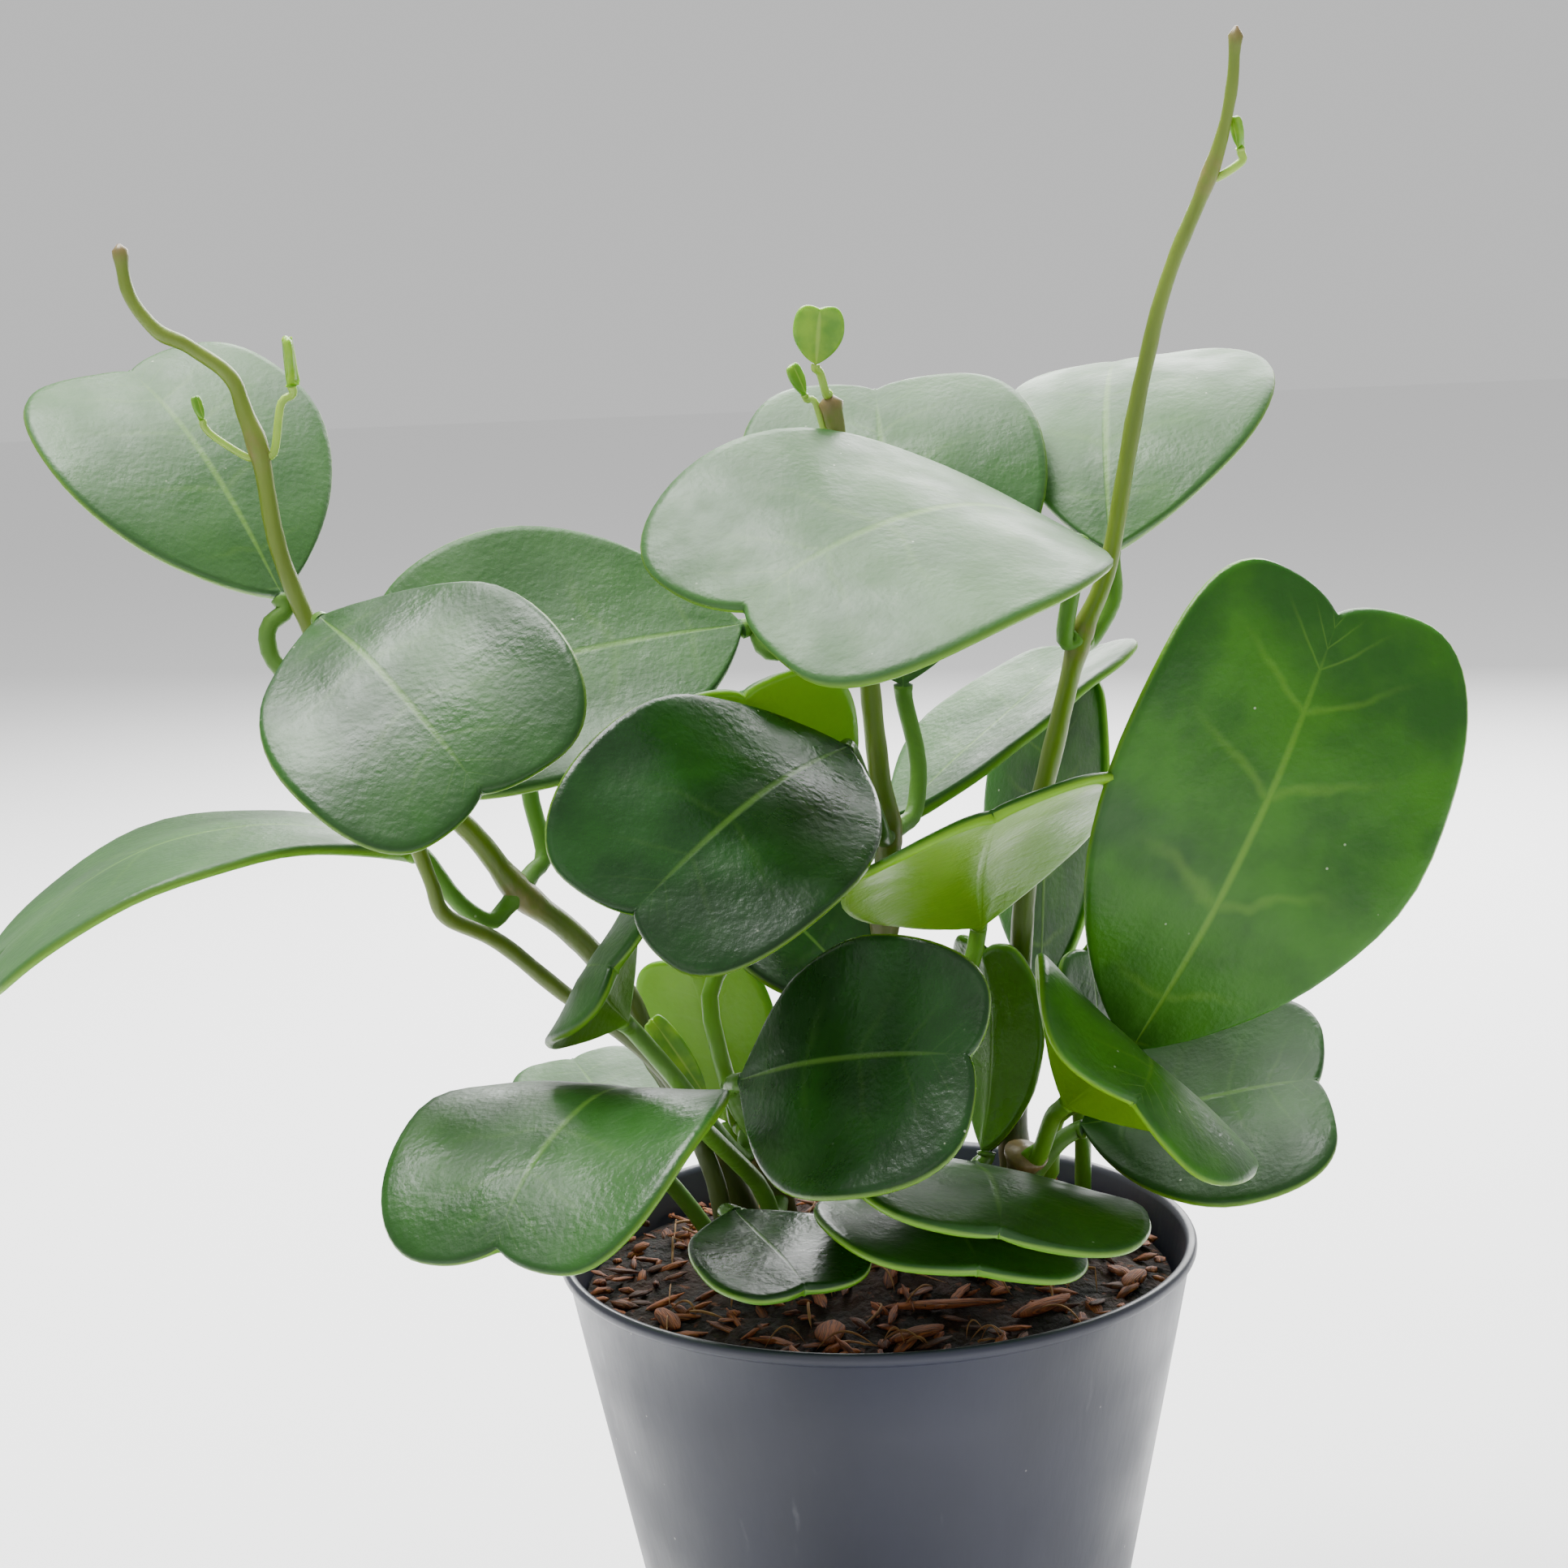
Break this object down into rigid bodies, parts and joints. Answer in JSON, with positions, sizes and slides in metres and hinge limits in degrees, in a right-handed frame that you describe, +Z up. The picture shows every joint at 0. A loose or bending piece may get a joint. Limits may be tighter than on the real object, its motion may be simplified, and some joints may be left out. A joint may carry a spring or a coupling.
{
  "type": "potted hoya plant",
  "caption": "Heart-leaf hoya in a tapered plastic nursery pot: thick notched leaves and twining stems rising from bark mix; stands on its base as a house plant.",
  "frame": {"origin": "middle of the underside of the pot, on the surface it stands on", "axes": "+Z up, plant faces -Y, +X to the right seen from the front"},
  "size_m": [0.2391, 0.1545, 0.2962],
  "materials": {
    "pot_plastic": "satin",
    "potting_mix": "rough",
    "bark": "rough",
    "leaf": "satin",
    "young_leaf": "satin",
    "stem": "satin"
  },
  "bodies": {
    "root": {"pot": "pot_plastic", "soil": "potting_mix", "stem_left": "stem", "runner_left": "stem", "stem_middle": "stem", "stem_right": "stem", "stub_left": "stem", "stub_right": "stem", "leaf_left_upper": "leaf", "leaf_left_front": "leaf", "leaf_left_back": "leaf", "leaf_left_arching": "leaf", "leaf_left_hidden": "leaf", "leaf_top_broad": "leaf", "leaf_top_back": "leaf", "leaf_front_glossy": "leaf", "leaf_middle_upright": "leaf", "leaf_back_slanting": "leaf", "leaf_right_upper": "leaf", "leaf_right_tall": "leaf", "leaf_right_back": "leaf", "leaf_middle_shelf": "leaf", "leaf_centre_upright": "leaf", "leaf_centre_back": "leaf", "leaf_front_low": "leaf", "leaf_right_curled": "leaf", "leaf_right_low": "leaf", "leaf_right_inner": "leaf", "leaf_left_low": "leaf", "leaf_left_curled": "leaf", "leaf_left_ground": "leaf", "leaf_left_rim": "leaf", "leaf_left_inner": "leaf", "leaf_rim_upper": "leaf", "leaf_rim_lower": "leaf", "young_leaf_left": "young_leaf", "young_leaf_left_small": "young_leaf", "young_leaf_top": "young_leaf", "young_leaf_top_small": "young_leaf", "young_leaf_right": "young_leaf", "sprout_left": "young_leaf", "bark_chip_front": "bark", "bark_chip_right": "bark", "bark_strip": "bark", "bark_chip_left": "bark", "bark_chip_far_right": "bark", "bark_chip_rim_left": "bark", "bark_chip_back": "bark", "bark_chip_back_right": "bark"}
  },
  "joints": []
}
